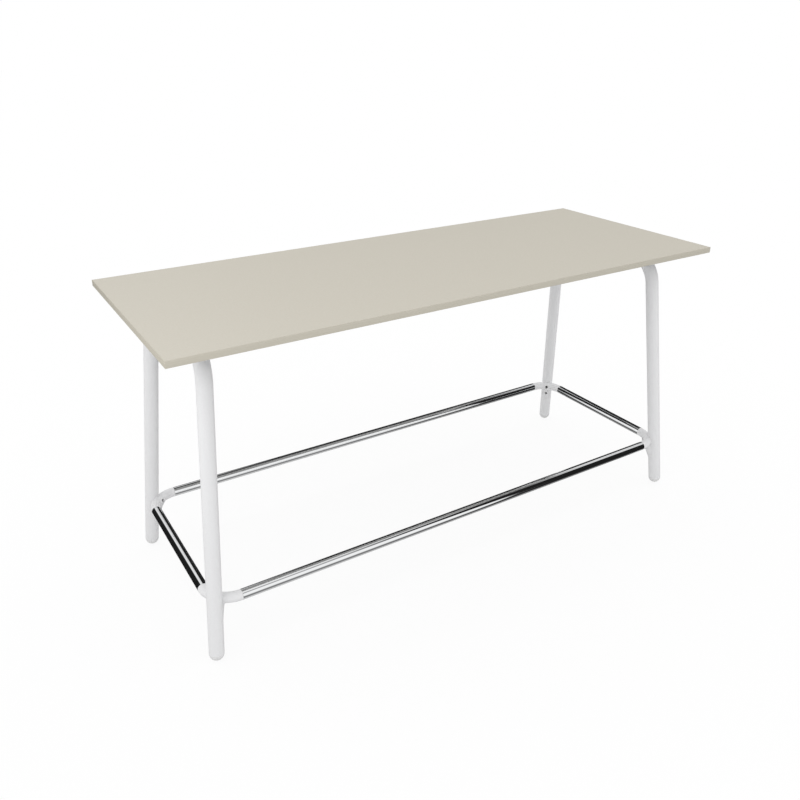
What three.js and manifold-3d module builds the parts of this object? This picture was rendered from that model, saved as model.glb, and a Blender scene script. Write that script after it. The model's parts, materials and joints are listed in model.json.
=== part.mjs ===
// A standing meeting table: a melamine-faced board on two bent-tube end frames with splayed legs,
// a ring of chrome foot rails held by cast corner connectors, and levelling feet.
// Millimetres, +Z up, +X along the table, -Y to the front, origin on the floor under the top's middle.
import * as THREE from "three";
import { mergeVertices, toCreasedNormals } from "three/addons/utils/BufferGeometryUtils.js";
import Module from "manifold-3d";

const radians = THREE.MathUtils.degToRad;

// Top
const TABLE_HEIGHT = 905;
const TOP_LENGTH = 1800;
const TOP_WIDTH = 700;
const TOP_THICKNESS = 18;
const EDGE_BAND_THICKNESS = 2;
const EDGE_BAND_ROUNDING = 1.2;

// End frames: the insets run from the top's edges to the leg axes at floor level
const LEG_INSET_ENDS = 35;
const LEG_INSET_SIDES = 37.5;
const FRAME_TILT = radians(6);
const LEG_SPLAY = radians(6);
const LEG_DIAMETER = 42;
const LEG_WALL = 2;
const LEG_BEND_RADIUS = 100;

// Mounting plates, welded on the frames' cross bars
const PLATE_THICKNESS = 4;
const PLATE_LENGTH = 110;
const PLATE_WIDTH = 40;
const PLATE_CORNER_RADIUS = 6;
const PLATE_HOLE_MARGIN = 13;
const PLATE_BEND_GAP = 10;

// Stiffening channels under the board: the inset runs from the top's long edge to a channel's middle
const STIFFENER_WIDTH = 40;
const STIFFENER_DEPTH = 25;
const STIFFENER_WALL = 2;
const STIFFENER_INSET = 170;
const STIFFENER_END_GAP = 20;
const STIFFENER_SCREWS = 4;
const STIFFENER_SCREW_MARGIN = 45;

// Wood screws into the board: the cover is the board left above a screw's tip
const WOOD_SCREW_DIAMETER = 4;
const WOOD_SCREW_HEAD_DIAMETER = 8;
const WOOD_SCREW_HEAD_HEIGHT = 2.8;
const WOOD_SCREW_DRIVE_WIDTH = 3;
const WOOD_SCREW_DRIVE_DEPTH = 1.4;
const WOOD_SCREW_COVER = 5;

// Foot rails: their axes pass outside the leg axes by the outset
const RAIL_HEIGHT = 174;
const RAIL_DIAMETER = 30;
const RAIL_WALL = 1.5;
const RAIL_OUTSET = 6;

// Corner connectors: an elbow between two rails, and a lug that leans from it into the leg
const ELBOW_RADIUS = 80;
const SPIGOT_LENGTH = 40;
const LUG_RADIUS = 17;
const LUG_LENGTH = 64;
const LUG_TOP_DROP = 8;
const LUG_TOE_SINK = 0.5;

// Connector bolts: the rise is the upper bolt's height up the leg from the rails' level
const BOLT_DIAMETER = 6;
const BOLT_LENGTH = 20;
const BOLT_HEAD_DIAMETER = 10.5;
const BOLT_HEAD_HEIGHT = 3.3;
const BOLT_SOCKET_WIDTH = 4;
const BOLT_SOCKET_DEPTH = 2;
const BOLT_RECESS_CLEARANCE = 0.5;
const BOLT_RECESS = 7;
const UPPER_BOLT_RISE = 6;
const BOLT_SPACING = 34;

// Levelling feet: the flat is worn into the dome, and the cover is the dome left under the stem
const DOME_HEIGHT = 21;
const DOME_FLAT_DEPTH = 0.5;
const STEM_DIAMETER = 8;
const STEM_LENGTH = 50;
const STEM_COVER = 6;
const INSERT_LENGTH = 30;

// Gaps: round and slanting fits keep the clearance, flat faces that meet keep the contact gap
const CLEARANCE = 0.3;
const CONTACT_GAP = 0.05;

// Facets
const TUBE_SIDES = 24;
const SCREW_SIDES = 8;
const BEND_STEPS = 9;
const ELBOW_STEPS = 8;
const DOME_STEPS = 5;
const HEAD_STEPS = 2;
const ROUNDING_STEPS = 3;
const CREASE_ANGLE = radians(35);
const MERGE_DISTANCE = 1e-3;

const MELAMINE = { color: "#cbc6ba", roughness: 0.5, metalness: 0 };
const EDGE_PLASTIC = { color: "#c6c0b2", roughness: 0.5, metalness: 0 };
const POWDER_COAT = { color: "#e4e4e4", roughness: 0.45, metalness: 0 };
const CHROME = { color: "#d9dbde", roughness: 0.06, metalness: 1 };
const ZINC = { color: "#a9abad", roughness: 0.4, metalness: 1 };
const BLACK_STEEL = { color: "#3c3d3f", roughness: 0.5, metalness: 1 };
const GLIDE_PLASTIC = { color: "#dedede", roughness: 0.55, metalness: 0 };
const PLUG_PLASTIC = { color: "#2b2b2c", roughness: 0.6, metalness: 0 };

const ENDS = { left: -1, right: 1 };
const SIDES = { front: -1, back: 1 };
const UP = new THREE.Vector3(0, 0, 1);

const legRadius = LEG_DIAMETER / 2;
const railRadius = RAIL_DIAMETER / 2;
const boltRadius = BOLT_DIAMETER / 2;
const stemRadius = STEM_DIAMETER / 2;
const woodScrewRadius = WOOD_SCREW_DIAMETER / 2;
const legBoreRadius = legRadius - LEG_WALL;

const boardUnderside = TABLE_HEIGHT - TOP_THICKNESS;
const plateTop = boardUnderside - CONTACT_GAP;
const plateUnderside = plateTop - PLATE_THICKNESS;
const crossBarHeight = plateUnderside - legRadius;
const webUnderside = boardUnderside - CONTACT_GAP - STIFFENER_WALL;

const wasm = await Module();
wasm.setup();

// A closed geometry as a solid that can be cut and joined.
function toSolid(geometry) {
  const bare = geometry.clone();
  bare.deleteAttribute("normal");
  bare.deleteAttribute("uv");
  const merged = mergeVertices(bare, MERGE_DISTANCE);
  const vertProperties = merged.attributes.position.array;
  const triVerts = new Uint32Array(merged.index.array);
  return new wasm.Manifold(new wasm.Mesh({ numProp: 3, vertProperties, triVerts }));
}

function toGeometry(solid) {
  const { vertProperties, triVerts } = solid.getMesh();
  const geometry = new THREE.BufferGeometry();
  geometry.setAttribute("position", new THREE.BufferAttribute(vertProperties, 3));
  geometry.setIndex(new THREE.BufferAttribute(triVerts, 1));
  return toCreasedNormals(geometry, CREASE_ANGLE);
}

function cut(solid, cutters) {
  return cutters.reduce((left, cutter) => left.subtract(toSolid(cutter)), solid);
}

function piece(name, geometry, finish) {
  const mesh = new THREE.Mesh(geometry, new THREE.MeshStandardMaterial(finish));
  mesh.name = name;
  return mesh;
}

// A path through stations, each a point and the path's direction there.
class StationPath extends THREE.Curve {
  constructor(stations) {
    super();
    this.stations = stations;
  }

  station(fraction) {
    return this.stations[Math.round(fraction * (this.stations.length - 1))];
  }

  getPointAt(fraction) {
    return this.station(fraction).point.clone();
  }

  getTangentAt(fraction) {
    return this.station(fraction).direction.clone();
  }
}

function polygon(radius, sides) {
  const angles = Array.from({ length: sides }, (_, i) => (i * 2 * Math.PI) / sides);
  return angles.map((angle) => new THREE.Vector2(radius * Math.cos(angle), radius * Math.sin(angle)));
}

function disc(radius) {
  return new THREE.Shape(polygon(radius, TUBE_SIDES));
}

function ring(radius, wall) {
  const shape = disc(radius);
  shape.holes.push(new THREE.Path(polygon(radius - wall, TUBE_SIDES)));
  return shape;
}

function sweep(section, stations) {
  const extrudePath = new StationPath(stations);
  return new THREE.ExtrudeGeometry(section, { steps: stations.length - 1, extrudePath });
}

// A solid of revolution about Z from [radius, height] points that run upwards on the outside.
function spin(profile, sides) {
  const points = profile.map(([radius, height]) => new THREE.Vector2(radius, height));
  return new THREE.LatheGeometry(points, sides).rotateX(Math.PI / 2);
}

// A rod along Z from one height to another.
function rod(radius, from, to, sides) {
  const length = to - from;
  return new THREE.CylinderGeometry(radius, radius, length, sides)
    .rotateX(Math.PI / 2)
    .translate(0, 0, from + length / 2);
}

// A hexagonal rod by its width across flats.
function hexRod(width, from, to) {
  return rod(width / Math.sqrt(3), from, to, 6);
}

// The point on the axis of the right back leg at a height, and that of its front twin with side -1.
function legAt(height, side = SIDES.back) {
  const alongFrame = height / Math.cos(FRAME_TILT);
  const x = TOP_LENGTH / 2 - LEG_INSET_ENDS - height * Math.tan(FRAME_TILT);
  const y = TOP_WIDTH / 2 - LEG_INSET_SIDES - alongFrame * Math.tan(LEG_SPLAY);
  return new THREE.Vector3(x, y * side, height);
}

// A leg's own frame at a height: +Z up the leg, +X to the middle of the table, square to the leg.
function legFrame(height, side = SIDES.back) {
  const up = legAt(height, side).sub(legAt(0, side)).normalize();
  const inward = new THREE.Vector3(-1, -side, 0).projectOnPlane(up).normalize();
  const across = new THREE.Vector3().crossVectors(up, inward);
  return new THREE.Matrix4().makeBasis(inward, across, up).setPosition(legAt(height, side));
}

// The lean of a leg from upright, and the height of the dome's base that puts its flat on the floor.
const legLean = legAt(1).sub(legAt(0)).angleTo(UP);
const domeReach = Math.hypot(DOME_HEIGHT * Math.cos(legLean), legRadius * Math.sin(legLean));
const domeBaseHeight = domeReach - DOME_FLAT_DEPTH;

// The rails' axes, and the distance from the leg's axis to the elbow's inner face.
const railX = legAt(RAIL_HEIGHT).x + RAIL_OUTSET;
const railY = legAt(RAIL_HEIGHT).y + RAIL_OUTSET;
const elbowSag = ELBOW_RADIUS * (Math.SQRT2 - 1);
const elbowInnerFace = elbowSag - RAIL_OUTSET * Math.SQRT2 + railRadius;

// The lug's inner face runs from the elbow's, near its top, into the leg at its toe.
const lugToeFace = legRadius - LUG_TOE_SINK;
const lugSlope = (elbowInnerFace - lugToeFace) / LUG_LENGTH;

function lugInnerFace(drop) {
  return elbowInnerFace - lugSlope * (drop - LUG_TOP_DROP);
}

// The two bolts of a corner: height up the leg from the rails' level, and the seat's distance from its axis.
const lowerBoltHeight = UPPER_BOLT_RISE - BOLT_SPACING;
const BOLTS = {
  upper: { height: UPPER_BOLT_RISE, seat: elbowInnerFace - BOLT_RECESS },
  lower: { height: lowerBoltHeight, seat: lugInnerFace(-lowerBoltHeight) - BOLT_RECESS },
};

function edgeBandProfile() {
  const rounding = Math.min(EDGE_BAND_ROUNDING, EDGE_BAND_THICKNESS, TOP_THICKNESS / 2);
  const shape = new THREE.Shape();
  shape.moveTo(0, 0);
  shape.lineTo(EDGE_BAND_THICKNESS - rounding, 0);
  shape.absarc(EDGE_BAND_THICKNESS - rounding, rounding, rounding, -Math.PI / 2, 0);
  shape.absarc(
    EDGE_BAND_THICKNESS - rounding,
    TOP_THICKNESS - rounding,
    rounding,
    0,
    Math.PI / 2,
  );
  shape.lineTo(0, TOP_THICKNESS);
  return shape;
}

// A band along X whose inner face is at Y 0 and whose outer face looks towards -Y.
function edgeBand(length) {
  const settings = { depth: length, bevelEnabled: false, curveSegments: ROUNDING_STEPS };
  return new THREE.ExtrudeGeometry(edgeBandProfile(), settings)
    .translate(0, 0, -length / 2)
    .rotateX(Math.PI / 2)
    .rotateZ(-Math.PI / 2)
    .translate(0, 0, boardUnderside);
}

function addEdgeBands(table) {
  const insetWidth = TOP_WIDTH - 2 * (EDGE_BAND_THICKNESS + CONTACT_GAP);
  const bands = [
    { name: "front", turn: 0, reach: TOP_WIDTH / 2, length: TOP_LENGTH },
    { name: "right", turn: Math.PI / 2, reach: TOP_LENGTH / 2, length: insetWidth },
    { name: "back", turn: Math.PI, reach: TOP_WIDTH / 2, length: TOP_LENGTH },
    { name: "left", turn: -Math.PI / 2, reach: TOP_LENGTH / 2, length: insetWidth },
  ];
  for (const { name, turn, reach, length } of bands) {
    const geometry = edgeBand(length).translate(0, EDGE_BAND_THICKNESS - reach, 0).rotateZ(turn);
    table.add(piece(`edge_band_${name}`, geometry, EDGE_PLASTIC));
  }
}

function addTopPanel(table, screwSpots) {
  const margin = 2 * (EDGE_BAND_THICKNESS + CONTACT_GAP);
  const board = new THREE.BoxGeometry(TOP_LENGTH - margin, TOP_WIDTH - margin, TOP_THICKNESS)
    .translate(0, 0, TABLE_HEIGHT - TOP_THICKNESS / 2);
  const pilotTop = TABLE_HEIGHT - WOOD_SCREW_COVER + CLEARANCE;
  const pilotRadius = woodScrewRadius + CLEARANCE;
  const pilots = screwSpots.map(({ x, y }) =>
    rod(pilotRadius, plateUnderside, pilotTop, SCREW_SIDES).translate(x, y, 0),
  );
  table.add(piece("top_panel", toGeometry(cut(toSolid(board), pilots)), MELAMINE));
}

// Places of the plates and the channels, with the screws that hold each of them.
const plateX = legAt(crossBarHeight).x;
const bendReach = LEG_BEND_RADIUS * Math.tan((Math.PI / 2 - LEG_SPLAY) / 2);
const crossBarHalf = legAt(crossBarHeight).y - bendReach;
const plateY = crossBarHalf - PLATE_BEND_GAP - PLATE_WIDTH / 2;
const plateHoleOffset = PLATE_LENGTH / 2 - PLATE_HOLE_MARGIN;
const stiffenerY = TOP_WIDTH / 2 - STIFFENER_INSET;
const stiffenerHalf = plateX - PLATE_LENGTH / 2 - STIFFENER_END_GAP;
const stiffenerScrewReach = stiffenerHalf - STIFFENER_SCREW_MARGIN;

function plateScrewSpots() {
  const spots = [];
  for (const [end, alongSign] of Object.entries(ENDS)) {
    for (const [side, acrossSign] of Object.entries(SIDES)) {
      for (const [place, offset] of [["inner", -plateHoleOffset], ["outer", plateHoleOffset]]) {
        const name = `plate_screw_${side}_${end}_${place}`;
        spots.push({ name, x: alongSign * (plateX + offset), y: acrossSign * plateY });
      }
    }
  }
  return spots;
}

function stiffenerScrewSpots() {
  const spots = [];
  for (const [side, acrossSign] of Object.entries(SIDES)) {
    for (let i = 0; i < STIFFENER_SCREWS; i++) {
      const share = i / (STIFFENER_SCREWS - 1);
      const x = THREE.MathUtils.lerp(-stiffenerScrewReach, stiffenerScrewReach, share);
      spots.push({ name: `stiffener_screw_${side}_${i + 1}`, x, y: acrossSign * stiffenerY });
    }
  }
  return spots;
}

// A screw with its head's seat at Z 0, its shank down and its domed head up, with a hexagonal drive.
function screw(shankRadius, shankLength, headRadius, headHeight, driveWidth, driveDepth) {
  const profile = [[0, -shankLength], [shankRadius, -shankLength], [shankRadius, 0]];
  for (let i = 0; i <= HEAD_STEPS; i++) {
    const angle = (i / HEAD_STEPS) * (Math.PI / 2);
    const edge = headRadius - driveWidth;
    profile.push([driveWidth + edge * Math.cos(angle), headHeight * Math.sin(angle)]);
  }
  profile.push([0, headHeight]);
  const drive = hexRod(driveWidth, headHeight - driveDepth, headHeight + driveDepth);
  return toGeometry(cut(toSolid(spin(profile, SCREW_SIDES)), [drive]));
}

function addWoodScrews(table, spots, seat) {
  const tip = TABLE_HEIGHT - WOOD_SCREW_COVER;
  const seatHeight = seat - CLEARANCE;
  const geometry = screw(
    woodScrewRadius,
    tip - seatHeight,
    WOOD_SCREW_HEAD_DIAMETER / 2,
    WOOD_SCREW_HEAD_HEIGHT,
    WOOD_SCREW_DRIVE_WIDTH,
    WOOD_SCREW_DRIVE_DEPTH,
  );
  for (const { name, x, y } of spots) {
    const mesh = piece(name, geometry, ZINC);
    mesh.rotation.x = Math.PI;
    mesh.position.set(x, y, seatHeight);
    table.add(mesh);
  }
}

function plateGeometry() {
  const halfLength = PLATE_LENGTH / 2;
  const halfWidth = PLATE_WIDTH / 2;
  const radius = Math.min(PLATE_CORNER_RADIUS, halfLength, halfWidth);
  const shape = new THREE.Shape();
  shape.absarc(halfLength - radius, halfWidth - radius, radius, 0, Math.PI / 2);
  shape.absarc(radius - halfLength, halfWidth - radius, radius, Math.PI / 2, Math.PI);
  shape.absarc(radius - halfLength, radius - halfWidth, radius, Math.PI, 1.5 * Math.PI);
  shape.absarc(halfLength - radius, radius - halfWidth, radius, 1.5 * Math.PI, 2 * Math.PI);
  for (const offset of [-plateHoleOffset, plateHoleOffset]) {
    const hole = polygon(woodScrewRadius + CLEARANCE, SCREW_SIDES);
    shape.holes.push(new THREE.Path(hole.map((point) => point.setX(point.x + offset))));
  }
  const settings = { depth: PLATE_THICKNESS, bevelEnabled: false, curveSegments: ROUNDING_STEPS };
  return new THREE.ExtrudeGeometry(shape, settings).translate(0, 0, plateUnderside);
}

function addMountingPlates(table) {
  for (const [end, alongSign] of Object.entries(ENDS)) {
    for (const [side, acrossSign] of Object.entries(SIDES)) {
      const mesh = piece(`mounting_plate_${side}_${end}`, plateGeometry(), POWDER_COAT);
      mesh.position.set(alongSign * plateX, acrossSign * plateY, 0);
      table.add(mesh);
    }
  }
}

// A channel with its web against the board and its flanges down, drilled through the web.
function stiffenerGeometry(screwSpots) {
  const half = STIFFENER_WIDTH / 2;
  const shape = new THREE.Shape([
    new THREE.Vector2(-half, 0),
    new THREE.Vector2(-half, -STIFFENER_DEPTH),
    new THREE.Vector2(STIFFENER_WALL - half, -STIFFENER_DEPTH),
    new THREE.Vector2(STIFFENER_WALL - half, -STIFFENER_WALL),
    new THREE.Vector2(half - STIFFENER_WALL, -STIFFENER_WALL),
    new THREE.Vector2(half - STIFFENER_WALL, -STIFFENER_DEPTH),
    new THREE.Vector2(half, -STIFFENER_DEPTH),
    new THREE.Vector2(half, 0),
  ]);
  const channel = new THREE.ExtrudeGeometry(shape, { depth: 2 * stiffenerHalf, bevelEnabled: false })
    .translate(0, 0, -stiffenerHalf)
    .rotateX(Math.PI / 2)
    .rotateZ(Math.PI / 2)
    .translate(0, 0, webUnderside + STIFFENER_WALL);
  const holes = screwSpots.map(({ x }) =>
    rod(woodScrewRadius + CLEARANCE, webUnderside - STIFFENER_WALL, boardUnderside, SCREW_SIDES)
      .translate(x, 0, 0),
  );
  return toGeometry(cut(toSolid(channel), holes));
}

function addStiffeners(table, screwSpots) {
  for (const [side, acrossSign] of Object.entries(SIDES)) {
    const ownSpots = screwSpots.filter(({ y }) => Math.sign(y) === acrossSign);
    const mesh = piece(`stiffener_${side}`, stiffenerGeometry(ownSpots), POWDER_COAT);
    mesh.position.y = acrossSign * stiffenerY;
    table.add(mesh);
  }
}

// Stations up one leg, round its bend and onto the cross bar, in the frame's plane.
function legStations(side) {
  const station = (y, z, directionY, directionZ) => ({
    point: new THREE.Vector3(0, side * y, z),
    direction: new THREE.Vector3(0, side * directionY, directionZ),
  });
  const lean = { y: -Math.sin(LEG_SPLAY), z: Math.cos(LEG_SPLAY) };
  const footZ = domeBaseHeight / Math.cos(FRAME_TILT);
  const barZ = crossBarHeight / Math.cos(FRAME_TILT);
  const footY = legAt(domeBaseHeight).y;
  const stations = [
    station(footY + lean.y * CLEARANCE, footZ + lean.z * CLEARANCE, lean.y, lean.z),
  ];
  for (let i = 0; i <= BEND_STEPS; i++) {
    const angle = THREE.MathUtils.lerp(LEG_SPLAY, Math.PI / 2, i / BEND_STEPS);
    const y = crossBarHalf + LEG_BEND_RADIUS * Math.cos(angle);
    const z = barZ - LEG_BEND_RADIUS + LEG_BEND_RADIUS * Math.sin(angle);
    stations.push(station(y, z, -Math.sin(angle), Math.cos(angle)));
  }
  return stations;
}

// The right end frame: one tube from foot to foot, tapped through its inner wall for the bolts.
function frameTubeGeometry() {
  const upBack = legStations(SIDES.back);
  const downFront = legStations(SIDES.front)
    .reverse()
    .map(({ point, direction }) => ({ point, direction: direction.negate() }));
  const tube = sweep(ring(legRadius, LEG_WALL), [...upBack, ...downFront])
    .rotateY(-FRAME_TILT)
    .translate(legAt(0).x, 0, 0);
  const holes = [];
  for (const side of Object.values(SIDES)) {
    for (const { height, seat } of Object.values(BOLTS)) {
      const hole = boltRod(boltRadius + CLEARANCE, height, 0, seat);
      holes.push(hole.applyMatrix4(legFrame(RAIL_HEIGHT, side)));
    }
  }
  return toGeometry(cut(toSolid(tube), holes));
}

// A rod on a bolt's axis, between two distances from the leg's axis, in the leg's frame.
function boltRod(radius, height, from, to) {
  return rod(radius, from, to, SCREW_SIDES).rotateY(Math.PI / 2).translate(0, 0, height);
}

function addFrameTubes(table) {
  const geometry = frameTubeGeometry();
  for (const [end, alongSign] of Object.entries(ENDS)) {
    const mesh = piece(`frame_tube_${end}`, geometry, POWDER_COAT);
    mesh.scale.x = alongSign;
    table.add(mesh);
  }
}

function addFootRails(table) {
  const rails = [
    { axis: "x", half: railX - ELBOW_RADIUS, at: railY, names: SIDES, turn: [0, Math.PI / 2, 0] },
    { axis: "y", half: railY - ELBOW_RADIUS, at: railX, names: ENDS, turn: [Math.PI / 2, 0, 0] },
  ];
  for (const { axis, half, at, names, turn } of rails) {
    const length = 2 * (half - CLEARANCE);
    const settings = { depth: length, bevelEnabled: false };
    for (const [name, sign] of Object.entries(names)) {
      const geometry = new THREE.ExtrudeGeometry(ring(railRadius, RAIL_WALL), settings);
      const mesh = piece(`foot_rail_${name}`, geometry.translate(0, 0, -length / 2), CHROME);
      mesh.rotation.set(...turn);
      mesh.position.set(axis === "x" ? 0 : sign * at, axis === "x" ? sign * at : 0, RAIL_HEIGHT);
      table.add(mesh);
    }
  }
}

// Stations round the elbow from the end rail to the long rail.
function elbowStations() {
  const stations = [];
  for (let i = 0; i <= ELBOW_STEPS; i++) {
    const angle = (i / ELBOW_STEPS) * (Math.PI / 2);
    const x = railX - ELBOW_RADIUS + ELBOW_RADIUS * Math.cos(angle);
    const y = railY - ELBOW_RADIUS + ELBOW_RADIUS * Math.sin(angle);
    stations.push({
      point: new THREE.Vector3(x, y, RAIL_HEIGHT),
      direction: new THREE.Vector3(-Math.sin(angle), Math.cos(angle), 0),
    });
  }
  return stations;
}

function moveAlong({ point, direction }, distance) {
  return { point: point.clone().addScaledVector(direction, distance), direction };
}

// A leaning post on the inner side of the leg, in the leg's frame at the rails' level.
function lugGeometry() {
  const lean = new THREE.Matrix4().makeShear(0, 0, 0, 0, lugSlope, 0);
  return rod(LUG_RADIUS, 0, LUG_LENGTH, TUBE_SIDES)
    .applyMatrix4(lean)
    .translate(lugToeFace - LUG_RADIUS, 0, -LUG_TOP_DROP - LUG_LENGTH);
}

// The right back connector: elbow, spigots inside the rails and lug, cut to a saddle by the leg and drilled.
function connectorGeometry() {
  const frame = legFrame(RAIL_HEIGHT);
  const stations = elbowStations();
  const spigotStations = [
    moveAlong(stations[0], -SPIGOT_LENGTH),
    ...stations,
    moveAlong(stations.at(-1), SPIGOT_LENGTH),
  ];
  const spigotRadius = railRadius - RAIL_WALL - CLEARANCE;
  const body = toSolid(sweep(disc(railRadius), stations))
    .add(toSolid(sweep(disc(spigotRadius), spigotStations)))
    .add(toSolid(lugGeometry().applyMatrix4(frame)));
  const saddleReach = LUG_TOP_DROP + LUG_LENGTH + RAIL_DIAMETER;
  const cutters = [rod(legRadius + CLEARANCE, -saddleReach, saddleReach, TUBE_SIDES)];
  const recessRadius = BOLT_HEAD_DIAMETER / 2 + BOLT_RECESS_CLEARANCE;
  for (const { height, seat } of Object.values(BOLTS)) {
    cutters.push(boltRod(boltRadius + CLEARANCE, height, 0, seat + CLEARANCE));
    cutters.push(boltRod(recessRadius, height, seat, seat + elbowInnerFace));
  }
  return toGeometry(cut(body, cutters.map((cutter) => cutter.applyMatrix4(frame))));
}

// A dome with its flat base at Z 0 and a blind hole for the stem, cut flat where it meets the floor.
function domeGeometry(baseFrame) {
  const holeRadius = stemRadius + CLEARANCE;
  const profile = [];
  for (let i = 0; i <= DOME_STEPS; i++) {
    const angle = (i / DOME_STEPS) * (Math.PI / 2);
    profile.push([legRadius * Math.sin(angle), -DOME_HEIGHT * Math.cos(angle)]);
  }
  const holeFloor = STEM_COVER - DOME_HEIGHT - CLEARANCE;
  profile.push([holeRadius, 0], [holeRadius, holeFloor], [0, holeFloor]);
  const dome = toSolid(spin(profile, TUBE_SIDES).applyMatrix4(baseFrame));
  const floor = new THREE.BoxGeometry(LEG_DIAMETER, LEG_DIAMETER, DOME_HEIGHT)
    .translate(legAt(0).x, legAt(0).y, -DOME_HEIGHT / 2);
  return toGeometry(cut(dome, [floor]));
}

// A threaded plug in the end of the leg, in the leg's frame at the dome's base.
function insertGeometry() {
  const radius = legBoreRadius - CLEARANCE;
  const bore = stemRadius + CLEARANCE;
  const top = CLEARANCE + INSERT_LENGTH;
  return spin(
    [[bore, CLEARANCE], [radius, CLEARANCE], [radius, top], [bore, top], [bore, CLEARANCE]],
    TUBE_SIDES,
  );
}

function boltGeometry() {
  return screw(
    boltRadius,
    BOLT_LENGTH,
    BOLT_HEAD_DIAMETER / 2,
    BOLT_HEAD_HEIGHT,
    BOLT_SOCKET_WIDTH,
    BOLT_SOCKET_DEPTH,
  );
}

// What each leg carries, made once for the right back leg and mirrored to the others.
function addCorners(table) {
  const baseFrame = legFrame(domeBaseHeight);
  const railFrame = legFrame(RAIL_HEIGHT);
  const stemFloor = STEM_COVER - DOME_HEIGHT;
  const stem = rod(stemRadius, stemFloor, stemFloor + STEM_LENGTH, SCREW_SIDES).applyMatrix4(baseFrame);
  const insert = insertGeometry().applyMatrix4(baseFrame);
  const dome = domeGeometry(baseFrame);
  const connector = connectorGeometry();
  const bolt = boltGeometry().rotateY(Math.PI / 2);
  for (const [end, alongSign] of Object.entries(ENDS)) {
    for (const [side, acrossSign] of Object.entries(SIDES)) {
      const corner = new THREE.Group();
      corner.scale.set(alongSign, acrossSign, 1);
      const place = `${side}_${end}`;
      corner.add(piece(`corner_connector_${place}`, connector, POWDER_COAT));
      corner.add(piece(`foot_dome_${place}`, dome, GLIDE_PLASTIC));
      corner.add(piece(`foot_stem_${place}`, stem, ZINC));
      corner.add(piece(`foot_insert_${place}`, insert, PLUG_PLASTIC));
      const bolts = new THREE.Group();
      bolts.applyMatrix4(railFrame);
      for (const [level, { height, seat }] of Object.entries(BOLTS)) {
        const mesh = piece(`connector_bolt_${level}_${place}`, bolt, BLACK_STEEL);
        mesh.position.set(seat + CLEARANCE, 0, height);
        bolts.add(mesh);
      }
      corner.add(bolts);
      table.add(corner);
    }
  }
}

const table = new THREE.Group();
const plateSpots = plateScrewSpots();
const stiffenerSpots = stiffenerScrewSpots();
addTopPanel(table, [...plateSpots, ...stiffenerSpots]);
addEdgeBands(table);
addFrameTubes(table);
addMountingPlates(table);
addWoodScrews(table, plateSpots, plateUnderside);
addStiffeners(table, stiffenerSpots);
addWoodScrews(table, stiffenerSpots, webUnderside);
addFootRails(table);
addCorners(table);

export default table;
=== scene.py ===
"""The looks of a standing meeting table, built round its fixed frame. Metres, +Z up, front towards -Y."""
import json
import math
from contextlib import contextmanager

import bmesh
import bpy
import numpy as np
from mathutils import Matrix, Vector


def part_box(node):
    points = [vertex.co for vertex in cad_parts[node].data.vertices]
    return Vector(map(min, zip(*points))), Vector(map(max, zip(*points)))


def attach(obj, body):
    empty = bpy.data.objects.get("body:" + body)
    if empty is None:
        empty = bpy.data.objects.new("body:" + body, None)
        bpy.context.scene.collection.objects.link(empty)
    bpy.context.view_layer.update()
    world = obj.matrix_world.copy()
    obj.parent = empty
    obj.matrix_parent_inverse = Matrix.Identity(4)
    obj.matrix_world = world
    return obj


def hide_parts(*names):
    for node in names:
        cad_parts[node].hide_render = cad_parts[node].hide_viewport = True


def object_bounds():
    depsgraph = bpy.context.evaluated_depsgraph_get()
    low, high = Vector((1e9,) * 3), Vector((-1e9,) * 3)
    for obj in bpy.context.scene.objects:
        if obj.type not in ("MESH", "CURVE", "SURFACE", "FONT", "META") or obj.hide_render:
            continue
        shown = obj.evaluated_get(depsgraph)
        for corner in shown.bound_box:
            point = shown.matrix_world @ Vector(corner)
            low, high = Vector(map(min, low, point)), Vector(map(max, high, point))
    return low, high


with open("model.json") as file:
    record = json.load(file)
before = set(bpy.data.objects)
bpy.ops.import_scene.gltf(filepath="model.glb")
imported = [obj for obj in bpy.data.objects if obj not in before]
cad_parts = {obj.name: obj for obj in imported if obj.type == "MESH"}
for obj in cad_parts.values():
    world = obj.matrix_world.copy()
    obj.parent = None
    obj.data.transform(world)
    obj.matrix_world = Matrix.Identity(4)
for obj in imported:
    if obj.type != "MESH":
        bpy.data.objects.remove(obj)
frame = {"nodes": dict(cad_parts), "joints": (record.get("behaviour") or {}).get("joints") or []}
cad_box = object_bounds()

MM = 0.001
RIGHT_ANGLE = math.pi / 2
CORNERS = [f"{side}_{end}" for side in ("front", "back") for end in ("left", "right")]
MODEL_CORNER = "back_right"

# The gap between pieces that fit together, and how finely round forms are drawn
SLIT = 0.3 * MM
TUBE_SIDES = 64
TURNED_SIDES = 48
BEND_STEPS = 30
ROUNDING_STEPS = 6
SHARP_ANGLE = math.radians(38)

# Edging of the board, and how far up its sides the painted shade of its underside reaches
EDGE_ROUNDING = 1.2 * MM
EDGE_CORNER = 1.0 * MM
UNDERSIDE_SHADE_DEPTH = 0.5 * MM

# Tubes of the end frames and the rails
LEG_RADIUS = 21 * MM
LEG_WALL = 2 * MM
LEG_BEND_RADIUS = 100 * MM
RAIL_WALL = 1.5 * MM

# Corner castings: a lug leans from the elbow into the leg, with a fillet where they meet
LUG_RADIUS = 17 * MM
LUG_LENGTH = 64 * MM
LUG_TOP_DROP = 8 * MM
LUG_TOE_SINK = 0.5 * MM
CASTING_FILLET = 9 * MM
SADDLE_FILLET = 5 * MM
SADDLE_SINK = 1 * MM
SADDLE_REACH = 110 * MM
SPIGOT_LENGTH = 40 * MM
SPARE_ARM = 8 * MM

# The castings' skin: its cells, how it settles on the exact shape, the rods that cut it, and the least facet
SKIN_CELL = 1.5 * MM
SETTLE_PASSES = 6
SETTLE_STEP = 0.05 * MM
LEAST_STEEPNESS = 0.2
ROD_RINGS_APART = 4 * MM
SLIVER = 0.04 * MM

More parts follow.
